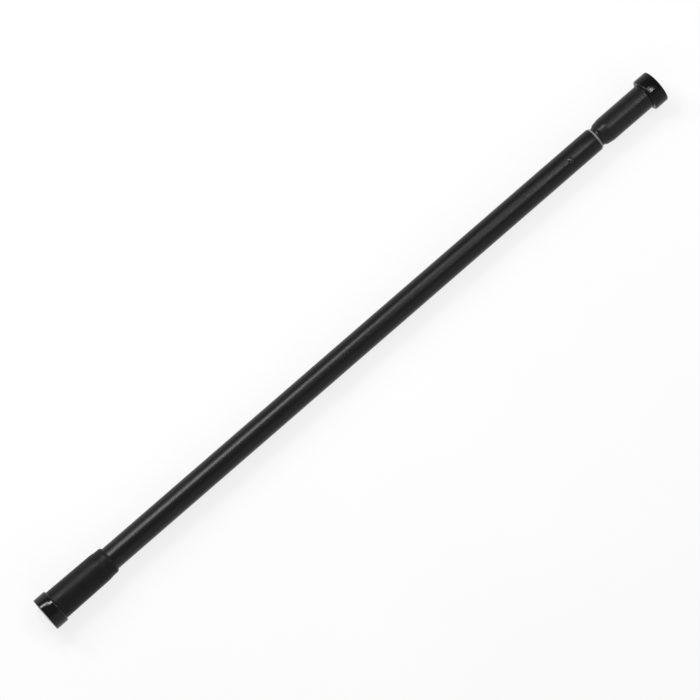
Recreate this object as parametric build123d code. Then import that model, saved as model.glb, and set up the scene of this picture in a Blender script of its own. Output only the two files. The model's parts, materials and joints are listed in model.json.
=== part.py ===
from build123d import *

import os
from math import radians, tan

# Telescoping twist-lock bed cargo bar, collapsed to its shortest length.
#
# Millimetres. The bar's axis is +X. The origin is the centre of the fixed foot's pressing face, so every
# station below is a distance from that face. +Z is up when the bar lies across a truck bed.
#
# Two steel tubes telescope. A square wedge nut on a threaded rod pushes four jaws out against the bore of
# the outer tube when the inner tube is turned half a turn, and a spring in the inner tube then pushes the
# two feet apart. Rubber grips cover both tube ends, and each ends in a round foot.

# ---------------------------------------------------------------- driving dimensions
BAR_LENGTH = 1016.0  # 40 in, collapsed
EXTENSION = 762.0  # 30 in, which makes 70 in
FIT = 0.1  # radial running clearance
TOUCH = 0.05  # face-to-face clearance between moving pieces

TUBE_WALL = 1.2
OUTER_R = 31.75 / 2  # outer tube, 1 1/4 in
INNER_R = 23.8 / 2  # inner tube, 15/16 in
BORE_R = OUTER_R - TUBE_WALL
INNER_BORE_R = INNER_R - TUBE_WALL

FIXED_FOOT_R = 46.2 / 2
SLIDING_FOOT_R = 45.0 / 2
FOOT_WALL = 5.0  # rubber between a tube's end disc and the wall it presses on
FOOT_FACE_EDGE = 1.4  # rounding of the rim round the pressing face
FOOT_INNER_EDGE = 2.4  # rounding of the rim beside the grip
TREAD_RADII = (8.5, 12.5, 16.5)  # circular grooves in a foot's face
TREAD_WIDTH = 1.6
TREAD_DEPTH = 1.0
FIXED_FOOT_LENGTH = 18.6
SLIDING_FOOT_LENGTH = 20.0

FIXED_GRIP_END = 105.4
FIXED_GRIP_R = 40.6 / 2
FIXED_GRIP_DRAFT = 0.8  # how much smaller a grip's radius is where its taper starts
FIXED_TAPER = 18.0  # length of a grip's tapered mouth
FIXED_SHOULDER = (9.5, 18.6)  # distance from the mouth and radius part of the way down the taper
FIXED_LIP_R = 36.6 / 2
SLIDING_GRIP_R = 34.0 / 2
SLIDING_GRIP_DRAFT = 0.1
SLIDING_TAPER = 18.5
SLIDING_SHOULDER = (8.0, 15.6)
SLIDING_LIP_R = 26.4 / 2
SHOULDER_SLOPE = 0.1
LIP_SLOPE = 0.25
MOUTH_WALL = 0.8  # rubber thickness at the very edge of a mouth
LIP_ROUND = 2.6  # axial length of the rounding at a mouth
LIP_TIGHTNESS = (0.8, 0.4)  # how long that rounding keeps to the slope and to the mouth's face

DISC_THICK = 1.5
DISC_SPIGOT = 3.0

OUTER_TUBE_END = 910.5
BUSH_LIP = 2.6
BUSH_LIP_R = 26.4 / 2
BUSH_LIP_EDGE = 0.4  # rounding of the lip's outer edge
BUSH_STOP_GAP = 0.5  # between the guide ring and the bush when the bar is fully extended
MOUTH_GAP = 0.3  # between the bush and the sliding grip when the bar is collapsed

RIVET_FROM_MOUTH = 43.5
RIVET_HEAD_R = 4.0
RIVET_HEAD_HEIGHT = 1.5
RIVET_SHANK_R = 2.0
RIVET_CLEAR = 0.4  # the shank stops this far short of the inner tube

# Lock: the threaded rod, the square wedge nut and its four jaws
ROD_TIP = 11.5
ROD_R = 4.0
ROD_HEX_START = 52.3
ROD_HEX_AF = 8.0
ROD_TIP_CHAMFER = 0.8
ROD_TAIL_CHAMFER = 0.6
HEX_FIT = 0.15
THREAD_PITCH = 3.0
LOCK_TURN = 180.0  # degrees of twist from free to locked
WEDGE_ANGLE = 18.0  # degrees, each flat against the axis
WEDGE_ADVANCE = THREAD_PITCH * LOCK_TURN / 360
JAW_TRAVEL = WEDGE_ADVANCE * tan(radians(WEDGE_ANGLE))
JAWS = 4

NUT_AF = 13.0
NUT_START = 13.0
NUT_LENGTH = 6.4
WASHER_THICK = 1.5
WASHER_R = 9.5
CAGE_START = 21.1
CAGE_PLATE = 4.0
CAGE_END = 57.0
CAGE_R = 14.15
CAGE_ROD_CLEAR = 0.3
CAGE_BORE_R = 10.9
CAGE_RING = 4.0
FINGER_WIDTH = 3.0
FINGER_ROOT_R = 8.0
FINGER_STEP = 31.0
WEDGE_START = 34.0
WEDGE_NOSE = 6.2  # half the wedge's width across flats at its small end
WEDGE_TAIL = 10.5
WEDGE_CORNER_R = 10.6
WEDGE_END = 52.0
JAW_START = CAGE_START + CAGE_PLATE + TOUCH
JAW_END = 45.0
JAW_R = BORE_R - JAW_TRAVEL - TOUCH
JAW_ROD_CLEAR = 0.8
JAW_SIDE_CLEAR = 0.25
JAW_TEETH = 5
TOOTH_DEPTH = 0.5
TOOTH_WIDTH = 1.1
JAW_RING_X = 29.0
JAW_RING_R = 1.0
JAW_RING_CENTRE_R = 12.95
JAW_RING_SIDE_CLEAR = 0.15
DRAG_RING_X = 55.0
DRAG_RING_R = 0.9
DRAG_RING_CENTRE_R = BORE_R - TOUCH - DRAG_RING_R

# Inner end of the inner tube: the plug, its guide ring and the push spring
INNER_TUBE_START = 98.0
CAGE_CLEAR = 4.1  # between the cage and the plug's head when the push spring is fully pressed
PLUG_HEAD_R = 11.5
PLUG_GROOVE_R = 9.5
PLUG_END = 118.0
GUIDE_RING = (88.0, 96.0)
GUIDE_RING_SLIT = 2.0
PLUG_PIN_X = 108.0
PLUG_PIN_R = 1.5
PLUG_PIN_DEPTH = 5.8  # distance from the axis to the inner end of each pin
PUSH_TRAVEL = 25.4  # 1 in
ROD_TAIL_R = 3.25
ROD_TAIL_END = 127.0
SEAT_THICK = 1.8
SEAT_R = 10.3
CIRCLIP_THICK = 1.0
CIRCLIP_R = 5.5
CIRCLIP_GROOVE_R = 2.6
SPRING_WIRE_R = 1.1
SPRING_MEAN_R = 8.6
SPRING_LENGTH = 52.0
SPRING_COILS = 9.0
STOP_LENGTH = 8.0
STOP_PIN_R = 2.0

# ---------------------------------------------------------------- stations that follow from them
X_AXIS = Axis.X
FIXED_DISC_START = FOOT_WALL
OUTER_TUBE_START = FIXED_DISC_START + DISC_THICK
SLIDING_FOOT_START = BAR_LENGTH - SLIDING_FOOT_LENGTH
SLIDING_DISC_END = BAR_LENGTH - FOOT_WALL
INNER_TUBE_END = SLIDING_DISC_END - DISC_THICK
BUSH_END = OUTER_TUBE_END + BUSH_LIP
BUSH_START = GUIDE_RING[1] + EXTENSION + BUSH_STOP_GAP
SLIDING_GRIP_START = BUSH_END + MOUTH_GAP
RIVET_X = OUTER_TUBE_END - RIVET_FROM_MOUTH
PIN_END_R = INNER_R - TOUCH
PLUG_HEAD_START = CAGE_END + PUSH_TRAVEL + CAGE_CLEAR
SEAT_START = PLUG_END + TOUCH
SPRING_START = SEAT_START + SEAT_THICK
STOP_START = SPRING_START + SPRING_LENGTH


# ---------------------------------------------------------------- shapes that repeat
def along_x(x):
    """A plane across the bar at x, whose normal is +X, local x is +Y and local y is +Z."""
    return Plane(origin=(x, 0, 0), x_dir=(0, 1, 0), z_dir=(1, 0, 0))


def rod(x0, x1, r):
    """A round bar from x0 to x1."""
    return extrude(along_x(x0) * Circle(r), x1 - x0)


def pipe(x0, x1, r_out, r_in):
    """A tube from x0 to x1."""
    return extrude(along_x(x0) * (Circle(r_out) - Circle(r_in)), x1 - x0)


def hex_bar(x0, x1, across_flats):
    """A hexagonal bar from x0 to x1."""
    return extrude(along_x(x0) * RegularPolygon(across_flats / 2, 6, major_radius=False), x1 - x0)


def turned(*edges):
    """The solid made by turning a closed outline, drawn in X and Y, about the bar's axis."""
    return revolve(make_face(Wire(edges)), X_AXIS)


def torus(x, centre_r, r):
    """An O-ring around the bar's axis."""
    return revolve(Pos(x, centre_r) * Circle(r), X_AXIS)


def at_angle(shape, degrees):
    """The shape turned about the bar's axis."""
    return shape.rotate(X_AXIS, degrees)


def radial_pin(x, r0, r1, r):
    """A round pin that points along +Z, from distance r0 to distance r1 from the axis."""
    return Pos(x, 0, r0) * extrude(Circle(r), r1 - r0)


# ---------------------------------------------------------------- rubber ends
def foot(face_x, direction, length, r, bore_r):
    """A rubber foot: a cup over the tube's end with a grooved pressing face and rounded rims."""

    def at(depth, height):
        return (face_x + direction * depth, height)

    face_rim = r - FOOT_FACE_EDGE
    inner_rim = r - FOOT_INNER_EDGE
    side_end = length - FOOT_INNER_EDGE
    body = turned(
        Line(at(0, 0), at(0, face_rim)),
        RadiusArc(at(0, face_rim), at(FOOT_FACE_EDGE, r), direction * FOOT_FACE_EDGE),
        Line(at(FOOT_FACE_EDGE, r), at(side_end, r)),
        RadiusArc(at(side_end, r), at(length, inner_rim), direction * FOOT_INNER_EDGE),
        Line(at(length, inner_rim), at(length, bore_r)),
        Line(at(length, bore_r), at(FOOT_WALL, bore_r)),
        Line(at(FOOT_WALL, bore_r), at(FOOT_WALL, 0)),
        Line(at(FOOT_WALL, 0), at(0, 0)),
    )
    tread_start = min(face_x, face_x + direction * TREAD_DEPTH)
    for groove_r in TREAD_RADII:
        outside, inside = groove_r + TREAD_WIDTH / 2, groove_r - TREAD_WIDTH / 2
        body -= pipe(tread_start, tread_start + TREAD_DEPTH, outside, inside)
    return body


def grip(foot_x, mouth_x, barrel_r, draft, taper, shoulder, lip_r, bore_r):
    """A rubber grip: a barrel with a little draft, then a mouth that tapers over a shoulder to the tube."""
    direction = 1 if mouth_x > foot_x else -1

    def from_mouth(distance, r):
        return (mouth_x - direction * distance, r)

    foot_edge = (foot_x, barrel_r)
    taper_start = from_mouth(taper, barrel_r - draft)
    lip = from_mouth(LIP_ROUND, lip_r)
    mouth = from_mouth(0, bore_r + MOUTH_WALL)
    along, inward = (direction, 0), (0, -1)
    gentle, sloping = (direction, -SHOULDER_SLOPE), (direction, -LIP_SLOPE)
    return turned(
        Line((foot_x, bore_r), foot_edge),
        Line(foot_edge, taper_start),
        Spline(taper_start, from_mouth(*shoulder), lip, tangents=(along, gentle, sloping)),
        Spline(lip, mouth, tangents=(sloping, inward), tangent_scalars=LIP_TIGHTNESS),
        Line(mouth, from_mouth(0, bore_r)),
        Line(from_mouth(0, bore_r), (foot_x, bore_r)),
    )


def fixed_grip():
    return grip(
        FIXED_FOOT_LENGTH,
        FIXED_GRIP_END,
        FIXED_GRIP_R,
        FIXED_GRIP_DRAFT,
        FIXED_TAPER,
        FIXED_SHOULDER,
        FIXED_LIP_R,
        OUTER_R,
    )


def sliding_grip():
    return grip(
        SLIDING_FOOT_START,
        SLIDING_GRIP_START,
        SLIDING_GRIP_R,
        SLIDING_GRIP_DRAFT,
        SLIDING_TAPER,
        SLIDING_SHOULDER,
        SLIDING_LIP_R,
        INNER_R,
    )


def end_disc(outer_x, direction, tube_r, bore_r):
    """A pressed steel disc that stops a tube's edge from cutting its rubber foot."""
    shoulder = outer_x + direction * DISC_THICK
    spigot = shoulder + direction * DISC_SPIGOT
    disc = rod(min(outer_x, shoulder), max(outer_x, shoulder), tube_r)
    return disc + pipe(min(shoulder, spigot), max(shoulder, spigot), bore_r, bore_r - TUBE_WALL)


# ---------------------------------------------------------------- outer tube and what stays with it
def outer_tube():
    tube = pipe(OUTER_TUBE_START, OUTER_TUBE_END, OUTER_R, BORE_R)
    return tube - rivet_holes()


def rivet_holes():
    """The two holes through the outer tube and the bush, one above and one below."""
    return Pos(RIVET_X, 0, -OUTER_R - 1) * extrude(Circle(RIVET_SHANK_R), 2 * OUTER_R + 2)


def guide_bush():
    """A nylon bush in the outer tube's mouth. Its end stands out of the tube as a pale ring."""
    bore_r = INNER_R + FIT
    body = pipe(BUSH_START, OUTER_TUBE_END, BORE_R, bore_r)
    lip = rod(OUTER_TUBE_END, BUSH_END, BUSH_LIP_R)
    lip = fillet(lip.edges().sort_by(X_AXIS)[-1], BUSH_LIP_EDGE)
    lip -= rod(OUTER_TUBE_END, BUSH_END, bore_r)
    return body + lip - rivet_holes()


def bush_rivet():
    """A round-headed rivet through the top of the outer tube and into the bush."""
    shank = radial_pin(RIVET_X, INNER_R + RIVET_CLEAR, OUTER_R, RIVET_SHANK_R)
    cap_r = (RIVET_HEAD_R**2 + RIVET_HEAD_HEIGHT**2) / (2 * RIVET_HEAD_HEIGHT)
    dome = Pos(RIVET_X, 0, OUTER_R + RIVET_HEAD_HEIGHT - cap_r) * Sphere(cap_r)
    skirt = radial_pin(RIVET_X, BORE_R, OUTER_R + RIVET_HEAD_HEIGHT, RIVET_HEAD_R)
    head = (dome & skirt) - rod(RIVET_X - 2 * RIVET_HEAD_R, RIVET_X + 2 * RIVET_HEAD_R, OUTER_R)
    return head + shank


# ---------------------------------------------------------------- lock inside the outer tube
def lock_rod():
    """The rod: a threaded length, a hexagonal shank that turns with the plug, and a tail for the spring."""
    thread = rod(ROD_TIP, ROD_HEX_START, ROD_R)
    thread = chamfer(thread.edges().sort_by(X_AXIS)[0], ROD_TIP_CHAMFER)
    shank = hex_bar(ROD_HEX_START, PLUG_END, ROD_HEX_AF)
    tail = rod(PLUG_END, ROD_TAIL_END, ROD_TAIL_R)
    tail = chamfer(tail.edges().sort_by(X_AXIS)[-1], ROD_TAIL_CHAMFER)
    groove = pipe(SPRING_START, SPRING_START + CIRCLIP_THICK, ROD_TAIL_R + 1, CIRCLIP_GROOVE_R)
    return thread + shank + (tail - groove)


def rod_end_nut():
    nut = hex_bar(NUT_START, NUT_START + NUT_LENGTH, NUT_AF)
    return nut - rod(NUT_START, NUT_START + NUT_LENGTH, ROD_R)


def thrust_washer():
    start = NUT_START + NUT_LENGTH
    return pipe(start, start + WASHER_THICK, WASHER_R, ROD_R)


def spring_seat():
    """The washer on the rod's tail that the push spring bears on."""
    return pipe(SEAT_START, SPRING_START, SEAT_R, ROD_TAIL_R)


def rod_circlip():
    """An open ring in the tail's groove, which holds the seat on the rod."""
    ring = pipe(SPRING_START, SPRING_START + CIRCLIP_THICK, CIRCLIP_R, CIRCLIP_GROOVE_R)
    gap = Pos(SPRING_START, -CIRCLIP_GROOVE_R, 0) * Box(
        CIRCLIP_THICK, 2 * CIRCLIP_GROOVE_R, CIRCLIP_R, align=(Align.MIN, Align.MIN, Align.MIN)
    )
    return ring - gap


def finger():
    """One finger of the cage, along +Z: thick beside the jaws' roots and thin beside the wedge nut."""
    root = Pos(JAW_START - TOUCH, 0, FINGER_ROOT_R) * Box(
        FINGER_STEP - JAW_START + TOUCH, FINGER_WIDTH, CAGE_R, align=(Align.MIN, Align.CENTER, Align.MIN)
    )
    thin = Pos(FINGER_STEP, 0, CAGE_BORE_R) * Box(
        CAGE_END - CAGE_RING - FINGER_STEP, FINGER_WIDTH, CAGE_R, align=(Align.MIN, Align.CENTER, Align.MIN)
    )
    return root + thin


def finger_angles():
    return [360 / JAWS * (k + 0.5) for k in range(JAWS)]


def jaw_ring_groove(room):
    """The groove for the jaw ring, with that much room under the ring."""
    half = JAW_RING_R + JAW_RING_SIDE_CLEAR
    return pipe(JAW_RING_X - half, JAW_RING_X + half, BORE_R, JAW_RING_CENTRE_R - JAW_RING_R - room)


def jaw_cage():
    """A front plate and a rear ring joined by four fingers, which guide the jaws and the wedge nut."""
    plate = pipe(CAGE_START, CAGE_START + CAGE_PLATE, CAGE_R, ROD_R + CAGE_ROD_CLEAR)
    ring = pipe(CAGE_END - CAGE_RING, CAGE_END, CAGE_R, CAGE_BORE_R)
    skin = rod(CAGE_START, CAGE_END, CAGE_R)
    for angle in finger_angles():
        ring += at_angle(finger(), angle) & skin
    half = DRAG_RING_R + FIT
    drag_groove = pipe(
        DRAG_RING_X - half, DRAG_RING_X + half, BORE_R, DRAG_RING_CENTRE_R - DRAG_RING_R - TOUCH
    )
    return plate + ring - jaw_ring_groove(TOUCH) - drag_groove


def square_taper(offset):
    """A square spindle with flats at the wedge angle, its flats moved out by offset."""
    slope = tan(radians(WEDGE_ANGLE))
    start, end = JAW_START, WEDGE_START + (WEDGE_TAIL - WEDGE_NOSE) / slope
    nose = WEDGE_NOSE - (WEDGE_START - start) * slope + offset
    tail = WEDGE_TAIL + offset
    small, large = Rectangle(2 * nose, 2 * nose), Rectangle(2 * tail, 2 * tail)
    return loft([along_x(start) * small, along_x(end) * large])


def wedge_nut():
    """A square tapered nut with its corners turned off, and a round collar behind."""
    slope = tan(radians(WEDGE_ANGLE))
    taper_end = WEDGE_START + (WEDGE_TAIL - WEDGE_NOSE) / slope
    taper = square_taper(0) & rod(WEDGE_START, taper_end, WEDGE_CORNER_R)
    collar = rod(taper_end, WEDGE_END, WEDGE_CORNER_R)
    return taper + collar - rod(WEDGE_START, WEDGE_END, ROD_R + FIT)


def jaw(index):
    """One jaw: a quarter of a toothed sleeve with a sloping inner flat for the wedge nut."""
    sleeve = pipe(JAW_START, JAW_END, JAW_R, ROD_R + JAW_ROD_CLEAR)
    pitch = (JAW_END - FINGER_STEP) / JAW_TEETH
    for k in range(JAW_TEETH):
        tooth_x = FINGER_STEP + (k + 0.5) * pitch
        sleeve -= pipe(tooth_x, tooth_x + TOOTH_WIDTH, BORE_R, JAW_R - TOOTH_DEPTH)
    sleeve = sleeve - square_taper(TOUCH / 2) - jaw_ring_groove(TOUCH + JAW_TRAVEL)
    reach = 2 * BORE_R
    quarter = make_face(Polyline((0, 0), (-reach, reach), (reach, reach), (0, 0)))
    piece = sleeve & extrude(along_x(JAW_START) * quarter, JAW_END - JAW_START)
    slot_width = FINGER_WIDTH + 2 * JAW_SIDE_CLEAR
    slot = Box(JAW_END - JAW_START, slot_width, BORE_R, align=(Align.MIN, Align.CENTER, Align.MIN))
    slot = Pos(JAW_START, 0, 0) * slot
    for side in (-1, 1):
        piece -= at_angle(slot, side * 360 / JAWS / 2)
    return at_angle(piece, index * 360 / JAWS)


# ---------------------------------------------------------------- inner tube and what turns with it
def inner_tube():
    tube = pipe(INNER_TUBE_START, INNER_TUBE_END, INNER_R, INNER_BORE_R)
    return tube - plug_pins(INNER_R + 1) - stop_pin(INNER_R + 1)


def plug_pins(end_r):
    """Two short pins through the tube into the plug, one above and one below, out to end_r."""
    pin = radial_pin(PLUG_PIN_X, PLUG_PIN_DEPTH, end_r, PLUG_PIN_R)
    return pin + at_angle(pin, 180)


def inner_end_plug():
    """The plug in the inner tube's inner end, with a groove for the guide ring and a hexagonal bore."""
    flange_start = GUIDE_RING[1] + TOUCH
    groove_start = GUIDE_RING[0] - TOUCH
    plug = rod(PLUG_HEAD_START, groove_start, PLUG_HEAD_R)
    plug += rod(groove_start, flange_start, PLUG_GROOVE_R)
    plug += rod(flange_start, INNER_TUBE_START, INNER_R)
    plug += rod(INNER_TUBE_START, PLUG_END, INNER_BORE_R)
    return plug - hex_bar(PLUG_HEAD_START, PLUG_END, ROD_HEX_AF + HEX_FIT) - plug_pins(PIN_END_R)


def guide_ring():
    """A split nylon ring that keeps the inner tube in the middle of the outer one."""
    ring = pipe(*GUIDE_RING, BORE_R - FIT, PLUG_GROOVE_R + FIT)
    slit = Pos(GUIDE_RING[0], 0, 0) * Box(
        GUIDE_RING[1] - GUIDE_RING[0], GUIDE_RING_SLIT, BORE_R, align=(Align.MIN, Align.CENTER, Align.MIN)
    )
    return ring - slit


def push_spring():
    """A compression spring between the rod's seat and the stop."""
    pitch = (SPRING_LENGTH - 2 * SPRING_WIRE_R) / SPRING_COILS
    path = Helix(pitch, pitch * SPRING_COILS, SPRING_MEAN_R)
    section = Plane(origin=path @ 0, z_dir=path % 0) * Circle(SPRING_WIRE_R)
    coil = sweep(section, path=path, is_frenet=True)
    return Pos(SPRING_START + SPRING_WIRE_R, 0, 0) * coil.rotate(Axis.Y, 90)


def spring_stop():
    stop = rod(STOP_START, STOP_START + STOP_LENGTH, INNER_BORE_R)
    return stop - stop_pin(PIN_END_R)


def stop_pin(end_r):
    """A pin across the inner tube out to end_r on both sides, which holds the spring's stop."""
    return radial_pin(STOP_START + STOP_LENGTH / 2, -end_r, end_r, STOP_PIN_R)


# ---------------------------------------------------------------- the assembly
def build():
    nodes = {
        "outer_tube": outer_tube(),
        "fixed_grip": fixed_grip(),
        "fixed_foot": foot(0, 1, FIXED_FOOT_LENGTH, FIXED_FOOT_R, OUTER_R),
        "fixed_end_disc": end_disc(FIXED_DISC_START, 1, OUTER_R, BORE_R),
        "guide_bush": guide_bush(),
        "bush_rivet_top": bush_rivet(),
        "bush_rivet_bottom": at_angle(bush_rivet(), 180),
        "guide_ring": guide_ring(),
        "inner_tube": inner_tube(),
        "inner_end_plug": inner_end_plug(),
        "plug_pins": plug_pins(PIN_END_R),
        "push_spring": push_spring(),
        "spring_stop": spring_stop(),
        "spring_stop_pin": stop_pin(PIN_END_R),
        "sliding_grip": sliding_grip(),
        "sliding_foot": foot(BAR_LENGTH, -1, SLIDING_FOOT_LENGTH, SLIDING_FOOT_R, INNER_R),
        "sliding_end_disc": end_disc(SLIDING_DISC_END, -1, INNER_R, INNER_BORE_R),
        "lock_rod": lock_rod(),
        "rod_end_nut": rod_end_nut(),
        "thrust_washer": thrust_washer(),
        "spring_seat": spring_seat(),
        "rod_circlip": rod_circlip(),
        "jaw_cage": jaw_cage(),
        "jaw_ring": torus(JAW_RING_X, JAW_RING_CENTRE_R, JAW_RING_R),
        "drag_ring": torus(DRAG_RING_X, DRAG_RING_CENTRE_R, DRAG_RING_R),
        "wedge_nut": wedge_nut(),
    }
    for index in range(JAWS):
        nodes[f"jaw_{index + 1}"] = jaw(index)
    return nodes


def main():
    os.makedirs("parts", exist_ok=True)
    for name, shape in build().items():
        export_step(shape, f"parts/{name}.step")
    print(f"wedge advance {WEDGE_ADVANCE:.4f} mm, jaw travel {JAW_TRAVEL:.4f} mm")


main()
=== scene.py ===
import json
from math import cos, pi, radians, sin, sqrt

import bmesh
import bpy
from mathutils import Matrix, Vector


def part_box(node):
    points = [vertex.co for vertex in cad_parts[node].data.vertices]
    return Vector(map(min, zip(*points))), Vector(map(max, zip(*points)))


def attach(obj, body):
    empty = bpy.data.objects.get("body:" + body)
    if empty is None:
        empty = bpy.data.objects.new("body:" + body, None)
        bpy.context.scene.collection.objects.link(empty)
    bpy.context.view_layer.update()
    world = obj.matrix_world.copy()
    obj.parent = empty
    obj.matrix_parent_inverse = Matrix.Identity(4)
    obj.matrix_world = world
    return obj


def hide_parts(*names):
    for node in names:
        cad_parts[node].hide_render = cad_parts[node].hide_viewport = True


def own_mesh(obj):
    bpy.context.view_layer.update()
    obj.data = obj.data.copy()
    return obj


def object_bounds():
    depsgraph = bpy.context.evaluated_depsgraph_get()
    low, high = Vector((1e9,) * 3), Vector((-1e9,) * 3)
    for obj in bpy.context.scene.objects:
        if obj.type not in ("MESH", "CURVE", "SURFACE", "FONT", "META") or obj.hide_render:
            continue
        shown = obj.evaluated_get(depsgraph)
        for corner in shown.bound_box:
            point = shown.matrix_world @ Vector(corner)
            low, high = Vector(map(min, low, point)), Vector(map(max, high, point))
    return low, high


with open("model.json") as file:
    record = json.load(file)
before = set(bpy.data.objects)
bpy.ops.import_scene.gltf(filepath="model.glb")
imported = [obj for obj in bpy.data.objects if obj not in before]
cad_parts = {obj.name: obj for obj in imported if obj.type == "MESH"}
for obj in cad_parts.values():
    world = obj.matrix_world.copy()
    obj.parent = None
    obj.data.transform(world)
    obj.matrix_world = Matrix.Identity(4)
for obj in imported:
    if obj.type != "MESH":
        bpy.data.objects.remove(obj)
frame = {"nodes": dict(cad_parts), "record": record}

# A telescoping bed cargo bar on a pale floor, seen closed when at rest. Metres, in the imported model's frame:
# the bar's axis is +X and the fixed foot's face is at x = 0. Lengths and outer radii come from the packed
# nodes' boxes, and the grips' outlines from their points. The constants add what boxes can't tell.

cad_low, cad_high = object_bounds()
MM = 0.001
BAR = Vector((1, 0, 0))
TURN = 2 * pi
AXIS_R = 1e-9  # a point nearer the axis than this lies on it
SAME_POINT = 1e-6  # two points of an outline nearer than this are one


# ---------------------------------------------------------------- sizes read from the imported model
def span(node):
    """A turned node's first and last station along the bar, and its largest radius."""
    low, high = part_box(node)
    return low.x, high.x, max(high.y, high.z)


# ---------------------------------------------------------------- mesh tools
def finish_mesh(name, bm, body, slot, material, *nodes, sharp_angle=35):
    """Turns a bmesh into a piece that rides on a body and stands for the named CAD nodes."""
    bmesh.ops.recalc_face_normals(bm, faces=bm.faces)
    for face in bm.faces:
        face.smooth = True
    limit = radians(sharp_angle)
    for edge in bm.edges:
        edge.smooth = len(edge.link_faces) == 2 and edge.calc_face_angle(0) < limit
    mesh = bpy.data.meshes.new(name)
    bm.to_mesh(mesh)
    bm.free()
    piece = bpy.data.objects.new(name, mesh)
    bpy.context.scene.collection.objects.link(piece)
    mesh.materials.append(material)
    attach(piece, body)
    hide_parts(*nodes)
    return piece


def arc(centre_x, centre_r, radius, start, end, steps):
    """Points on an arc in the (x, r) plane, from one angle in degrees to another."""
    points = []
    for k in range(steps + 1):
        a = radians(start + (end - start) * k / steps)
        points.append((centre_x + radius * cos(a), centre_r + radius * sin(a)))
    return points


def skin(bm, rings, closed):
    """Faces from each ring of points to the next one, and from the last to the first where closed.

    A ring of one point is a tip or a point on the axis."""
    count = len(rings)
    for i in range(count if closed else count - 1):
        a, b = rings[i], rings[(i + 1) % count]
        segments = max(len(a), len(b))
        if segments == 1:
            continue
        for k in range(segments):
            j = (k + 1) % segments
            corners = (a[k % len(a)], a[j % len(a)], b[j % len(b)], b[k % len(b)])
            bm.faces.new(list(dict.fromkeys(corners)))


def lathe(profile, segments=160, relief=None):
    """A closed solid of revolution about the bar's axis from a closed loop of (x, r) points.

    A point with r = 0 lies on the axis. relief(r, angle) adds to the radius where it is given."""
    bm = bmesh.new()
    rings = []
    for x, r in profile:
        if r < AXIS_R:
            rings.append([bm.verts.new((x, 0, 0))])
            continue
        ring = []
        for k in range(segments):
            a = TURN * k / segments
            rr = r + (relief(r, a) if relief else 0)
            ring.append(bm.verts.new((x, rr * cos(a), rr * sin(a))))
        rings.append(ring)
    skin(bm, rings, closed=True)
    return bm


def refine(points, spacing):
    """Adds points to an outline's long steps, about that far apart and less than twice as far."""
    out = []
    for (x0, r0), (x1, r1) in zip(points, points[1:]):
        steps = max(1, int(sqrt((x1 - x0) ** 2 + (r1 - r0) ** 2) / spacing))
        out += [(x0 + (x1 - x0) * k / steps, r0 + (r1 - r0) * k / steps) for k in range(steps)]
    return out + [points[-1]]


def apart(p, q):
    return abs(p[0] - q[0]) + abs(p[1] - q[1])


def without_repeats(points):
    """The closed outline with points that lie on each other joined."""
    out = []
    for p in points:
        if not out or apart(p, out[-1]) > SAME_POINT:
            out.append(p)
    if apart(out[0], out[-1]) < SAME_POINT:
        out.pop()
    return out


# ---------------------------------------------------------------- materials
NOISE_LOW, NOISE_HIGH = 0.3, 0.7  # where most of a noise texture's values lie


def new_material(name):
    material = bpy.data.materials.new(name)
    material.use_nodes = True
    tree = material.node_tree
    return material, tree, tree.nodes["Principled BSDF"]


def noise(tree, scale, detail=4.0, roughness=0.55, stretch=(1, 1, 1)):
    """A noise texture in the piece's own metres, stretched along an axis where the surface is drawn."""
    place = tree.nodes.new("ShaderNodeTexCoord")
    mapping = tree.nodes.new("ShaderNodeMapping")
    mapping.inputs["Scale"].default_value = stretch
    texture = tree.nodes.new("ShaderNodeTexNoise")
    texture.inputs["Scale"].default_value = scale
    texture.inputs["Detail"].default_value = detail
    texture.inputs["Roughness"].default_value = roughness
    tree.links.new(place.outputs["Object"], mapping.inputs["Vector"])
    tree.links.new(mapping.outputs["Vector"], texture.inputs["Vector"])
    return texture.outputs["Fac"]


def spread(tree, value, low, high):
    """Maps a texture's middle range to the range from low to high."""
    node = tree.nodes.new("ShaderNodeMapRange")
    node.inputs["From Min"].default_value = NOISE_LOW
    node.inputs["From Max"].default_value = NOISE_HIGH
    node.inputs["To Min"].default_value = low
    node.inputs["To Max"].default_value = high
    tree.links.new(value, node.inputs["Value"])
    return node.outputs["Result"]


def two_colours(tree, value, first, second, start=0.35, end=0.65):
    """Maps a texture to a blend of two colours, which starts and ends at those values."""
    ramp = tree.nodes.new("ShaderNodeValToRGB")
    ramp.color_ramp.elements[0].position = start
    ramp.color_ramp.elements[1].position = end
    ramp.color_ramp.elements[0].color = (*first, 1)
    ramp.color_ramp.elements[1].color = (*second, 1)
    tree.links.new(value, ramp.inputs["Fac"])
    return ramp.outputs["Color"]


def bump(tree, shader, height, distance, under=None):
    """Adds a bump of that height in metres, on top of another bump where one is given."""
    node = tree.nodes.new("ShaderNodeBump")
    node.inputs["Strength"].default_value = 1.0
    node.inputs["Distance"].default_value = distance
    tree.links.new(height, node.inputs["Height"])
    if under is not None:
        tree.links.new(under, node.inputs["Normal"])
    tree.links.new(node.outputs["Normal"], shader.inputs["Normal"])
    return node.outputs["Normal"]


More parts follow.
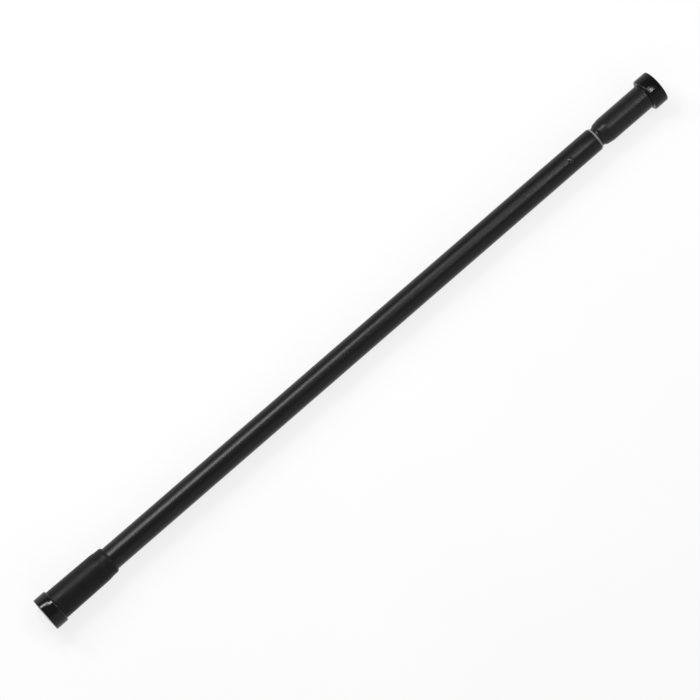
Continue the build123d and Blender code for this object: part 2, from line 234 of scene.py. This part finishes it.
def tube_paint():
    """Semi-gloss black powder coat: fine orange peel, and a slow change of gloss along the tube."""
    material, tree, shader = new_material("tube_paint")
    shade = noise(tree, 9.0, detail=3.0)
    colour = two_colours(tree, shade, (0.0032, 0.0032, 0.0032), (0.0048, 0.0048, 0.0048))
    tree.links.new(colour, shader.inputs["Base Color"])
    gloss = noise(tree, 60.0, detail=5.0, stretch=(0.25, 1, 1))
    tree.links.new(spread(tree, gloss, 0.28, 0.34), shader.inputs["Roughness"])
    shader.inputs["Specular IOR Level"].default_value = 0.23
    peel = bump(tree, shader, noise(tree, 900.0, detail=2.0), 0.00002)
    bump(tree, shader, noise(tree, 5200.0, detail=2.0), 0.000005, under=peel)
    return material


def inner_paint():
    """The same coat on the inner tube, with fine rub marks drawn along it by the bush."""
    material, tree, shader = new_material("inner_tube_paint")
    rubbed = noise(tree, 700.0, detail=3.0, stretch=(0.012, 1, 1))
    colour = two_colours(tree, rubbed, (0.009, 0.009, 0.0095), (0.02, 0.02, 0.0205), 0.5, 0.75)
    tree.links.new(colour, shader.inputs["Base Color"])
    tree.links.new(spread(tree, rubbed, 0.36, 0.24), shader.inputs["Roughness"])
    shader.inputs["Specular IOR Level"].default_value = 0.25
    scratches = bump(tree, shader, rubbed, 0.00001)
    bump(tree, shader, noise(tree, 900.0, detail=2.0), 0.000015, under=scratches)
    return material


def rivet_paint():
    """The tube's coat on a rivet's head, thinner and brighter where it is rubbed."""
    material, tree, shader = new_material("rivet_paint")
    rub = noise(tree, 500.0, detail=3.0)
    tree.links.new(two_colours(tree, rub, (0.004,) * 3, (0.008,) * 3), shader.inputs["Base Color"])
    tree.links.new(spread(tree, rub, 0.2, 0.27), shader.inputs["Roughness"])
    shader.inputs["Specular IOR Level"].default_value = 0.45
    bump(tree, shader, noise(tree, 2500.0, detail=2.0), 0.000008)
    return material


def grip_rubber(name, rough, specular, grey):
    """Matte moulded rubber: spark-eroded grain, and a faint grey bloom in soft patches."""
    material, tree, shader = new_material(name)
    bloom = noise(tree, 45.0, detail=6.0, roughness=0.6)
    colour = two_colours(tree, bloom, (grey * 0.8,) * 3, (grey * 1.2,) * 3, 0.3, 0.75)
    tree.links.new(colour, shader.inputs["Base Color"])
    tree.links.new(spread(tree, bloom, rough - 0.04, rough + 0.05), shader.inputs["Roughness"])
    shader.inputs["Specular IOR Level"].default_value = specular
    grain = bump(tree, shader, noise(tree, 1500.0, detail=3.0), 0.00004)
    bump(tree, shader, noise(tree, 5000.0, detail=2.0), 0.00001, under=grain)
    return material


def foot_rubber(name, specular):
    """Smoother, glossier moulded rubber, a little worn where it is handled."""
    material, tree, shader = new_material(name)
    wear = noise(tree, 80.0, detail=6.0, roughness=0.6)
    colour = two_colours(tree, wear, (0.0035, 0.0035, 0.0035), (0.006, 0.006, 0.006), 0.4, 0.8)
    tree.links.new(colour, shader.inputs["Base Color"])
    tree.links.new(spread(tree, wear, 0.08, 0.12), shader.inputs["Roughness"])
    shader.inputs["Specular IOR Level"].default_value = specular
    bump(tree, shader, noise(tree, 1100.0, detail=3.0), 0.000015)
    return material


def nylon(name, dark, light, rough, subsurface):
    """Moulded nylon: slightly mottled and satin, with a little light passing through the pale kind."""
    material, tree, shader = new_material(name)
    mottle = noise(tree, 260.0, detail=4.0)
    tree.links.new(two_colours(tree, mottle, dark, light), shader.inputs["Base Color"])
    tree.links.new(spread(tree, mottle, rough - 0.05, rough + 0.05), shader.inputs["Roughness"])
    shader.inputs["Subsurface Weight"].default_value = subsurface
    shader.inputs["Subsurface Radius"].default_value = (0.0012, 0.0012, 0.0011)
    bump(tree, shader, noise(tree, 2200.0, detail=2.0), 0.00001)
    return material


def metal(name, dark, light, rough, scale=400.0):
    """Plated or cast metal: patches of tone, and fine marks."""
    material, tree, shader = new_material(name)
    tone = noise(tree, scale, detail=5.0)
    tree.links.new(two_colours(tree, tone, dark, light), shader.inputs["Base Color"])
    tree.links.new(spread(tree, tone, rough - 0.06, rough + 0.08), shader.inputs["Roughness"])
    shader.inputs["Metallic"].default_value = 1.0
    bump(tree, shader, noise(tree, scale * 5, detail=3.0), 0.000006)
    return material


def ring_rubber():
    """Greased nitrile rubber."""
    material, tree, shader = new_material("ring_rubber")
    grease = noise(tree, 500.0, detail=4.0)
    colour = two_colours(tree, grease, (0.008, 0.008, 0.008), (0.016, 0.016, 0.015))
    tree.links.new(colour, shader.inputs["Base Color"])
    tree.links.new(spread(tree, grease, 0.22, 0.42), shader.inputs["Roughness"])
    bump(tree, shader, noise(tree, 3000.0, detail=2.0), 0.000008)
    return material


MATERIALS = {
    "tube_paint": tube_paint(),
    "inner_paint": inner_paint(),
    "rivet_paint": rivet_paint(),
    "grip_rubber": grip_rubber("grip_rubber", 0.38, 0.09, 0.009),
    "handled_grip_rubber": grip_rubber("handled_grip_rubber", 0.31, 0.18, 0.01),
    "foot_rubber": foot_rubber("foot_rubber", 0.23),
    "handled_foot_rubber": foot_rubber("handled_foot_rubber", 0.16),
    "pale_nylon": nylon("pale_nylon", (0.15, 0.15, 0.149), (0.2, 0.2, 0.197), 0.45, 0.1),
    "black_nylon": nylon("black_nylon", (0.012, 0.012, 0.012), (0.02, 0.02, 0.02), 0.5, 0.0),
    "zinc_steel": metal("zinc_steel", (0.46, 0.48, 0.52), (0.62, 0.63, 0.64), 0.3),
    "spring_steel": metal("spring_steel", (0.17, 0.17, 0.18), (0.3, 0.3, 0.31), 0.32),
    "cast_zinc": metal("cast_zinc", (0.36, 0.36, 0.37), (0.5, 0.5, 0.5), 0.48, scale=700.0),
    "ring_rubber": ring_rubber(),
}


def paint_cad_nodes():
    """Gives every CAD node the material of its slot."""
    for part in frame["record"]["subparts"]:
        node = frame["nodes"][part["node"]]
        node.data.materials.clear()
        node.data.materials.append(MATERIALS[part["material_slot"]])


# ---------------------------------------------------------------- tubes
TUBE_WALL = 1.2 * MM
TUBE_EDGE = 0.35 * MM
TUBE_EDGE_STEPS = 4
TUBE_SPACING = 20 * MM  # of the rings along a tube


def tube_outline(node):
    """A tube's section, with its cut edges rounded inside and outside."""
    x0, x1, outside = span(node)
    inside, edge = outside - TUBE_WALL, TUBE_EDGE
    outline = [(x0, inside + edge), (x0, outside - edge)]
    outline += arc(x0 + edge, outside - edge, edge, 180, 90, TUBE_EDGE_STEPS)
    outline += refine([(x0 + edge, outside), (x1 - edge, outside)], TUBE_SPACING)
    outline += arc(x1 - edge, outside - edge, edge, 90, 0, TUBE_EDGE_STEPS)
    outline += arc(x1 - edge, inside + edge, edge, 0, -90, TUBE_EDGE_STEPS)
    outline += [(x1 - edge, inside), (x0 + edge, inside)]
    outline += arc(x0 + edge, inside + edge, edge, -90, -180, TUBE_EDGE_STEPS)
    return without_repeats(outline)


def tube(node, body, material):
    bm = lathe(tube_outline(node))
    return finish_mesh(f"{node}_mesh", bm, body, "tube_paint", MATERIALS[material], node)


# ---------------------------------------------------------------- rubber ends
GRIP_SEAM = 0.09 * MM  # height of the mould's parting line
GRIP_SEAM_REACH = 0.7 * MM  # how far it reaches to each side
GRIP_SPACING = 5 * MM  # of the rings along a grip
GRIP_SEGMENTS = 256
STATION_DIGITS = 5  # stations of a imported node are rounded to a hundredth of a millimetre


def parting_line(r, a):
    """A low ridge along both sides of a moulding, where the two halves of the mould met."""
    ridge = 0
    for side in (0, pi):
        away = abs((a - side + pi) % TURN - pi) * r
        if away < GRIP_SEAM_REACH:
            ridge = GRIP_SEAM * (1 - away / GRIP_SEAM_REACH) ** 2
    return ridge


def cad_outline(node):
    """The outside radius of a turned CAD node at each of its stations, in order along the bar."""
    radii = {}
    for v in frame["nodes"][node].data.vertices:
        x = round(v.co.x, STATION_DIGITS)
        radii[x] = max(radii.get(x, 0), sqrt(v.co.y**2 + v.co.z**2))
    return sorted(radii.items())


def grip(node, body, tube_node, material):
    """A rubber sleeve on a tube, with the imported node's outline and the mould's parting lines."""
    bore = span(tube_node)[2]
    outline = cad_outline(node)
    points = [(outline[0][0], bore)] + refine(outline, GRIP_SPACING) + [(outline[-1][0], bore)]
    bm = lathe(without_repeats(points), segments=GRIP_SEGMENTS, relief=parting_line)
    return finish_mesh(f"{node}_mesh", bm, body, "grip_rubber", MATERIALS[material], node)


FOOT_FACE_EDGE = 1.4 * MM  # rounding of the rim at the pressing face
FOOT_FACE_STEPS = 6
FOOT_INNER_EDGE = 2.4 * MM  # rounding of the rim beside the grip
FOOT_INNER_STEPS = 8
FOOT_WALL = 5.0 * MM  # from the pressing face to the tube's end
FOOT_SEGMENTS = 192
TREAD_RADII = (8.5 * MM, 12.5 * MM, 16.5 * MM)
TREAD_WIDTH = 1.6 * MM
TREAD_DEPTH = 1.0 * MM
TREAD_EDGE = 0.3 * MM
TREAD_EDGE_SHARE = 0.3  # how much of that stays at the middle of a groove's rounded edge


def tread_face():
    """The pressing face as (depth, r) points from the axis to the rim, with round-edged grooves."""
    near = TREAD_EDGE * TREAD_EDGE_SHARE
    points = [(0, 0)]
    for radius in TREAD_RADII:
        low, high = radius - TREAD_WIDTH / 2, radius + TREAD_WIDTH / 2
        points += [(0, low - TREAD_EDGE), (near, low - near), (TREAD_EDGE, low)]
        points += [(TREAD_DEPTH - TREAD_EDGE, low), (TREAD_DEPTH, low + TREAD_EDGE)]
        points += [(TREAD_DEPTH, high - TREAD_EDGE), (TREAD_DEPTH - TREAD_EDGE, high)]
        points += [(TREAD_EDGE, high), (near, high + near), (0, high + TREAD_EDGE)]
    return points


def foot(node, body, inward, tube_node, material):
    """A round foot: grooved face, rounded rims and a cup that holds the tube's end.

    inward is +1 or -1, the way along the bar from the pressing face to the grip."""
    x0, x1, radius = span(node)
    face_x = x0 if inward > 0 else x1
    bore = span(tube_node)[2]
    length = x1 - x0
    points = tread_face()
    for k in range(FOOT_FACE_STEPS + 1):
        a = radians(90 / FOOT_FACE_STEPS * k)
        points.append((FOOT_FACE_EDGE * (1 - cos(a)), radius - FOOT_FACE_EDGE * (1 - sin(a))))
    for k in range(FOOT_INNER_STEPS + 1):
        a = radians(90 / FOOT_INNER_STEPS * k)
        points.append((length - FOOT_INNER_EDGE * (1 - sin(a)), radius - FOOT_INNER_EDGE * (1 - cos(a))))
    points += [(length, bore), (FOOT_WALL, bore), (FOOT_WALL, 0)]
    outline = [(face_x + inward * depth, r) for depth, r in points]
    bm = lathe(without_repeats(outline), segments=FOOT_SEGMENTS)
    return finish_mesh(f"{node}_mesh", bm, body, "foot_rubber", MATERIALS[material], node)


# ---------------------------------------------------------------- bush and rivets
BUSH_CLEARANCE = 0.1 * MM  # between the bush and the inner tube
BUSH_EDGE = 0.4 * MM
BUSH_EDGE_STEPS = 5
BUSH_SPACING = 6 * MM  # of the rings along the bush


def guide_bush():
    """The grey bush, with its lip outside the tube's mouth and rounded edges."""
    x0, x1, lip_r = span("guide_bush")
    _, tube_end, tube_r = span("outer_tube")
    body_r = tube_r - TUBE_WALL
    bore = span("inner_tube")[2] + BUSH_CLEARANCE
    edge = BUSH_EDGE
    outline = [(x0, bore), (x0, body_r - edge), (x0 + edge, body_r), (tube_end, body_r), (tube_end, lip_r)]
    outline += arc(x1 - edge, lip_r - edge, edge, 90, 0, BUSH_EDGE_STEPS)
    outline += [(x1, bore + edge), (x1 - edge, bore)]
    bm = lathe(without_repeats(refine(outline, BUSH_SPACING)))
    material = MATERIALS["pale_nylon"]
    return finish_mesh("guide_bush_mesh", bm, "outer_assembly", "pale_nylon", material, "guide_bush")


RIVET_SINK = 0.45 * MM  # how far a rivet's head reaches below the top of the tube
RIVET_RIM = 0.25 * MM
RIVET_DIE_R = 0.7 * MM  # the small flat that the setting die leaves on the crown
RIVET_DIE_FLOOR = 0.85  # how much of that radius is flat
RIVET_DIE_DEPTH = 0.05 * MM
RIVET_CROWN_STEPS = 12
RIVET_SEGMENTS = 64


def rivet(node, side):
    """A rivet's round head, with a flat die mark on its crown. side is +1 or -1, for +Z or -Z."""
    low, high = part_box(node)
    centre_x = (low.x + high.x) / 2
    tube_r = span("outer_tube")[2]
    top = max(abs(low.z), abs(high.z))
    head_r = (high.x - low.x) / 2
    height = top - tube_r
    crown_r = (head_r**2 + height**2) / (2 * height)
    outline = [(0, top - RIVET_DIE_DEPTH), (RIVET_DIE_R * RIVET_DIE_FLOOR, top - RIVET_DIE_DEPTH)]
    for k in range(RIVET_CROWN_STEPS + 1):
        r = RIVET_DIE_R + (head_r - RIVET_RIM - RIVET_DIE_R) * k / RIVET_CROWN_STEPS
        outline.append((r, top - crown_r + sqrt(crown_r**2 - r**2)))
    outline += [(head_r, tube_r - RIVET_RIM / 2), (head_r, tube_r - RIVET_SINK), (0, tube_r - RIVET_SINK)]
    bm = bmesh.new()
    rings = []
    for r, z in outline:
        ring = []
        for k in range(1 if r < AXIS_R else RIVET_SEGMENTS):
            a = TURN * k / RIVET_SEGMENTS
            ring.append(bm.verts.new((centre_x + r * cos(a), r * sin(a), side * z)))
        rings.append(ring)
    skin(bm, rings, closed=False)
    return finish_mesh(f"{node}_mesh", bm, "outer_assembly", "rivet_paint", MATERIALS["rivet_paint"], node)


# ---------------------------------------------------------------- lock
ROD_R = 4.0 * MM
ROD_SEGMENTS = 72
ROD_TIP_CHAMFER = 0.8 * MM
THREAD_PITCH = 3.0 * MM
THREAD_DEPTH = 0.75 * MM
THREAD_STEPS = 10  # rings in one turn
THREAD_FLANK = 0.32  # share of a turn that each flank takes
THREAD_LEAD = 1.2 * MM  # the length in which it reaches its full depth at the tip
THREAD_FADE = 2.5 * MM  # the length in which it runs out before the shank
SHANK_START = 52.3 * MM  # its station along the bar
SHANK_HALF = 4.0 * MM  # half the hexagon's width across flats
SHANK_CORNER_R = 4.5 * MM
SHANK_FRONT_CHAMFER = 0.4 * MM
SHANK_BACK_CHAMFER = 0.3 * MM
TAIL_R = 3.25 * MM
TAIL_CHAMFER = 0.6 * MM
CLIP_GROOVE_R = 2.6 * MM
ROD_SHARP_ANGLE = 28  # degrees, so that the hexagon's edges and the thread's crests stay crisp
NUT_CHAMFER = 0.7 * MM
NUT_FACE_INSET = 1.6 * NUT_CHAMFER
NUT_CORNER = 1.12  # the corners' radius over half the width across flats, once they are turned off
NUT_BORE_EDGE = 0.3 * MM
NUT_SEGMENTS = 96


def off_flat(a):
    """The angle between a direction and the middle of the hexagon's nearest flat."""
    return (a + pi / 6) % (pi / 3) - pi / 6


def circle(r):
    """A round ring's radius at every angle."""
    return lambda a: r


def thread_height(share):
    """How far below the crest the thread is, from 0 to 1, at a share of one turn."""
    if share < THREAD_FLANK:
        return share / THREAD_FLANK
    if share < 0.5:
        return 1.0
    if share < 0.5 + THREAD_FLANK:
        return 1 - (share - 0.5) / THREAD_FLANK
    return 0.0


def lock_rod():
    """The rod with its real thread, hexagonal shank and turned tail, as one closed mesh."""
    x0, x1, _ = span("lock_rod")
    shank_end = span("inner_end_plug")[1]
    clip_start, clip_end, _ = span("rod_circlip")
    bm = bmesh.new()

    def ring(x, radius_at):
        row = []
        for k in range(ROD_SEGMENTS):
            a = TURN * k / ROD_SEGMENTS
            r = radius_at(a)
            row.append(bm.verts.new((x, r * cos(a), r * sin(a))))
        return row

    def hexagon(inset):
        return lambda a: min((SHANK_HALF - inset) / cos(off_flat(a)), SHANK_CORNER_R - inset)

    def thread(x, lead, fade):
        def radius_at(a):
            share = (x / THREAD_PITCH - a / TURN) % 1
            return ROD_R - ROD_TIP_CHAMFER * (1 - lead) - THREAD_DEPTH * thread_height(share) * fade * lead

        return radius_at

    rows = [ring(x0, circle(ROD_R - ROD_TIP_CHAMFER))]
    step = THREAD_PITCH / THREAD_STEPS
    count = int((SHANK_START - x0) / step)
    for k in range(1, count):
        x = x0 + k * step
        lead = min(1, k * step / THREAD_LEAD)
        fade = min(1, (SHANK_START - x) / THREAD_FADE)
        rows.append(ring(x, thread(x, lead, fade)))
    rows.append(ring(SHANK_START, circle(ROD_R)))
    rows.append(ring(SHANK_START, hexagon(SHANK_FRONT_CHAMFER)))
    rows.append(ring(SHANK_START + SHANK_FRONT_CHAMFER, hexagon(0)))
    rows.append(ring(shank_end - SHANK_BACK_CHAMFER, hexagon(0)))
    rows.append(ring(shank_end, hexagon(SHANK_BACK_CHAMFER)))
    tail = [(shank_end, TAIL_R), (clip_start, TAIL_R), (clip_start, CLIP_GROOVE_R), (clip_end, CLIP_GROOVE_R)]
    tail += [(clip_end, TAIL_R), (x1 - TAIL_CHAMFER, TAIL_R), (x1, TAIL_R - TAIL_CHAMFER)]
    for x, r in tail:
        rows.append(ring(x, circle(r)))
    skin(bm, rows, closed=False)
    bm.faces.new(rows[0])
    bm.faces.new(rows[-1])
    material = MATERIALS["zinc_steel"]
    return finish_mesh(
        "lock_rod_mesh", bm, "rod_assembly", "zinc_steel", material, "lock_rod", sharp_angle=ROD_SHARP_ANGLE
    )


def end_nut():
    """A hexagonal nut whose corners are chamfered at both faces."""
    low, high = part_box("rod_end_nut")
    x0, x1 = low.x, high.x
    half = min(high.y, high.z)

    def hexagon(inset):
        return lambda a: min(half / cos(off_flat(a)), half * NUT_CORNER - inset)

    sections = (
        (x0, circle(ROD_R + NUT_BORE_EDGE)),
        (x0, hexagon(NUT_FACE_INSET)),
        (x0 + NUT_CHAMFER, hexagon(0)),
        (x1 - NUT_CHAMFER, hexagon(0)),
        (x1, hexagon(NUT_FACE_INSET)),
        (x1, circle(ROD_R + NUT_BORE_EDGE)),
        (x1 - NUT_BORE_EDGE, circle(ROD_R)),
        (x0 + NUT_BORE_EDGE, circle(ROD_R)),
    )
    bm = bmesh.new()
    rows = []
    for x, radius_at in sections:
        row = []
        for k in range(NUT_SEGMENTS):
            a = TURN * k / NUT_SEGMENTS
            r = radius_at(a)
            row.append(bm.verts.new((x, r * sin(a), r * cos(a))))
        rows.append(row)
    skin(bm, rows, closed=True)
    material = MATERIALS["zinc_steel"]
    return finish_mesh("rod_end_nut_mesh", bm, "rod_assembly", "zinc_steel", material, "rod_end_nut")


SPRING_WIRE_R = 1.1 * MM
SPRING_COILS = 9.0
SPRING_COIL_STEPS = 48
SPRING_WIRE_SEGMENTS = 14
SPRING_GROUND = 0.12  # how much of the wire's thickness is ground off at each end


def push_spring():
    """The compression spring, with ground ends. It is built at one length; the real one shortens as the lock
    is pushed in.
    """
    x0, x1, outside = span("push_spring")
    wire = SPRING_WIRE_R
    mean = outside - wire
    pitch_slope = (x1 - x0 - 2 * wire) / (SPRING_COILS * TURN * mean)
    steps = int(SPRING_COILS * SPRING_COIL_STEPS)
    bm = bmesh.new()
    rows = []
    for s in range(steps + 1):
        turn = SPRING_COILS * s / steps
        at_end = max(0.0, 1 - min(turn, SPRING_COILS - turn))
        x = x0 + wire + (x1 - x0 - 2 * wire) * (s / steps)
        a = TURN * turn
        out = Vector((0, cos(a), sin(a)))
        along = Vector((pitch_slope, -sin(a), cos(a))).normalized()
        side = along.cross(out).normalized()
        thin = 1 - SPRING_GROUND * at_end
        row = []
        for k in range(SPRING_WIRE_SEGMENTS):
            b = TURN * k / SPRING_WIRE_SEGMENTS
            offset = out * (wire * cos(b)) + side * (wire * sin(b) * thin)
            row.append(bm.verts.new(Vector((x, 0, 0)) + out * mean + offset))
        rows.append(row)
    skin(bm, rows, closed=False)
    bm.faces.new(rows[0])
    bm.faces.new(rows[-1])
    material = MATERIALS["spring_steel"]
    piece = finish_mesh("push_spring_mesh", bm, "inner_assembly", "spring_steel", material, "push_spring")
    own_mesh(piece)
    return piece


# ---------------------------------------------------------------- floor, lights and camera
FLOOR_GLOW = 0.76  # the light table's own light, where 1 is white in the picture
FLOOR_TONE = 0.2  # how much of the lamps' light it sends back
FLOOR_MOTTLE = 0.02  # how much that varies from place to place
FLOOR_HALF_SIZE = 9.0
FLOOR_CENTRE = 0.5  # its station along the bar


def build_floor():
    """A plain white light table under the feet: it glows evenly, so that shadows on it are faint."""
    bm = bmesh.new()
    bmesh.ops.create_grid(bm, x_segments=1, y_segments=1, size=FLOOR_HALF_SIZE)
    mesh = bpy.data.meshes.new("studio_floor")
    bm.to_mesh(mesh)
    bm.free()
    floor = bpy.data.objects.new("studio_floor", mesh)
    bpy.context.scene.collection.objects.link(floor)
    floor.location = (FLOOR_CENTRE, 0, cad_low.z)
    material, tree, shader = new_material("pale_floor")
    tone = Vector((FLOOR_TONE, FLOOR_TONE, FLOOR_TONE))
    colour = two_colours(tree, noise(tree, 3.0), tone * (1 - FLOOR_MOTTLE), tone * (1 + FLOOR_MOTTLE))
    tree.links.new(colour, shader.inputs["Base Color"])
    shader.inputs["Roughness"].default_value = 0.9
    shader.inputs["Specular IOR Level"].default_value = 0.0
    shader.inputs["Emission Color"].default_value = (1, 1, 1, 1)
    shader.inputs["Emission Strength"].default_value = FLOOR_GLOW
    mesh.materials.append(material)


CAMERA_HEIGHT = 4.8  # straight above the bar's axis
CAMERA_STATION = -0.114  # where along the bar the camera stands
CAMERA_LENS = 199.7
CAMERA_REACH = 50
AIM_STATION = 0.501
AIM_OFFSET = 0.001  # how far the picture's centre is from the axis
BAR_RISE = 40.9  # degrees, how steeply the bar climbs to the right in the picture


def build_camera():
    """The camera above the bar, past its left end, rolled so that the bar climbs across the picture."""
    camera = bpy.data.objects.new("camera", bpy.data.cameras.new("camera"))
    bpy.context.scene.collection.objects.link(camera)
    place = Vector((CAMERA_STATION, 0, CAMERA_HEIGHT))
    aim = Vector((AIM_STATION, AIM_OFFSET, 0))
    back = (place - aim).normalized()
    along = (BAR - BAR.dot(back) * back).normalized()
    across = back.cross(along)
    rise = radians(BAR_RISE)
    right = cos(rise) * along - sin(rise) * across
    up = sin(rise) * along + cos(rise) * across
    turn = Matrix((right, up, back)).transposed()
    camera.matrix_world = Matrix.Translation(place) @ turn.to_4x4()
    camera.data.lens = CAMERA_LENS
    camera.data.clip_end = CAMERA_REACH
    bpy.context.scene.camera = camera


def area_light(name, place, aim, size, power):
    """A softbox at place that faces aim, with its first side along the bar."""
    light = bpy.data.objects.new(name, bpy.data.lights.new(name, "AREA"))
    bpy.context.scene.collection.objects.link(light)
    light.data.shape = "RECTANGLE"
    light.data.size, light.data.size_y = size
    light.data.energy = power
    back = (Vector(place) - Vector(aim)).normalized()
    first = (BAR - BAR.dot(back) * back).normalized()
    turn = Matrix((first, back.cross(first), back)).transposed()
    light.matrix_world = Matrix.Translation(place) @ turn.to_4x4()


def around_bar(station, angle, distance):
    """A point at that angle, in degrees, round the bar from straight above towards +Y."""
    a = radians(angle)
    return Vector((station, sin(a) * distance, cos(a) * distance))


HORIZON_LIGHT = 0.88
HORIZON_TOP = 0.25  # height of a direction, from 0 to 1, up to which the room is that bright
ZENITH_LIGHT = 0.26
ZENITH_EDGE = 0.7  # height above which it is this dim
ROOM_TILT = 24.6  # degrees that the dim part leans from straight up towards +Y


def studio_world():
    """A plain room that is dim overhead and brighter towards the horizon."""
    world = bpy.data.worlds.new("studio")
    bpy.context.scene.world = world
    world.use_nodes = True
    tree = world.node_tree
    place = tree.nodes.new("ShaderNodeTexCoord")
    tilt = tree.nodes.new("ShaderNodeMapping")
    tilt.inputs["Rotation"].default_value = (radians(ROOM_TILT), 0, 0)
    tree.links.new(place.outputs["Generated"], tilt.inputs["Vector"])
    axes = tree.nodes.new("ShaderNodeSeparateXYZ")
    tree.links.new(tilt.outputs["Vector"], axes.inputs["Vector"])
    ramp = tree.nodes.new("ShaderNodeValToRGB")
    stops = ((0.0, HORIZON_LIGHT), (HORIZON_TOP, HORIZON_LIGHT), (ZENITH_EDGE, ZENITH_LIGHT))
    ramp.color_ramp.elements.new(0.5)
    for element, (height, light) in zip(ramp.color_ramp.elements, stops):
        element.position = height
        element.color = (light, light, light, 1)
    tree.links.new(axes.outputs["Z"], ramp.inputs["Fac"])
    tree.links.new(ramp.outputs["Color"], tree.nodes["Background"].inputs["Color"])
    tree.nodes["Background"].inputs["Strength"].default_value = 1.0


# The long softbox bends over the bar. Each corner has its station, its angle round the bar in degrees, its
# width and its radiance in W/m2/sr.
KEY_PATH = (
    (-0.35, 60, 0.5, 20),
    (0.06, 51.5, 0.5, 18),
    (0.11, 47, 0.5, 20),
    (0.16, 40, 0.5, 26),
    (0.22, 37, 0.5, 32),
    (0.41, 36.5, 0.5, 23.5),
    (0.59, 39, 0.55, 17.5),
    (0.77, 41.5, 0.7, 9.5),
    (0.86, 38, 0.75, 5),
    (0.95, 32, 0.8, 3),
    (1.14, 18, 0.8, 3.1),
    (1.29, 18, 0.85, 2.4),
    (1.37, 18, 0.8, 9),
    (1.4, 8, 0.8, 42),
    (1.46, -5, 0.7, 88),
)
KEY_TILES = 32  # flat softboxes, end to end, that follow the path
LAMP_DISTANCE = 2.2  # from the bar's axis


def between(path, station):
    """The path's values at a station, in proportion between the corners on each side."""
    for before, after in zip(path, path[1:]):
        if station <= after[0]:
            share = (station - before[0]) / (after[0] - before[0])
            return [a + (b - a) * share for a, b in zip(before, after)]
    return path[-1]


def build_lights():
    """The long softbox, as a row of flat tiles that face the bar."""
    first, last = KEY_PATH[0][0], KEY_PATH[-1][0]
    length = (last - first) / KEY_TILES
    for index in range(KEY_TILES):
        station, angle, width, radiance = between(KEY_PATH, first + (index + 0.5) * length)
        place = around_bar(station, angle, LAMP_DISTANCE)
        power = radiance * pi * length * width
        area_light(f"key_tile_{index + 1}", place, (station, 0, 0), (length, width), power)


bpy.context.scene.view_settings.view_transform = "Standard"
paint_cad_nodes()
tube("outer_tube", "outer_assembly", "tube_paint")
tube("inner_tube", "inner_assembly", "inner_paint")
grip("fixed_grip", "outer_assembly", "outer_tube", "grip_rubber")
grip("sliding_grip", "inner_assembly", "inner_tube", "handled_grip_rubber")
foot("fixed_foot", "outer_assembly", 1, "outer_tube", "foot_rubber")
foot("sliding_foot", "inner_assembly", -1, "inner_tube", "handled_foot_rubber")
guide_bush()
rivet("bush_rivet_top", 1)
rivet("bush_rivet_bottom", -1)
lock_rod()
end_nut()
push_spring()
build_floor()
build_camera()
studio_world()
build_lights()
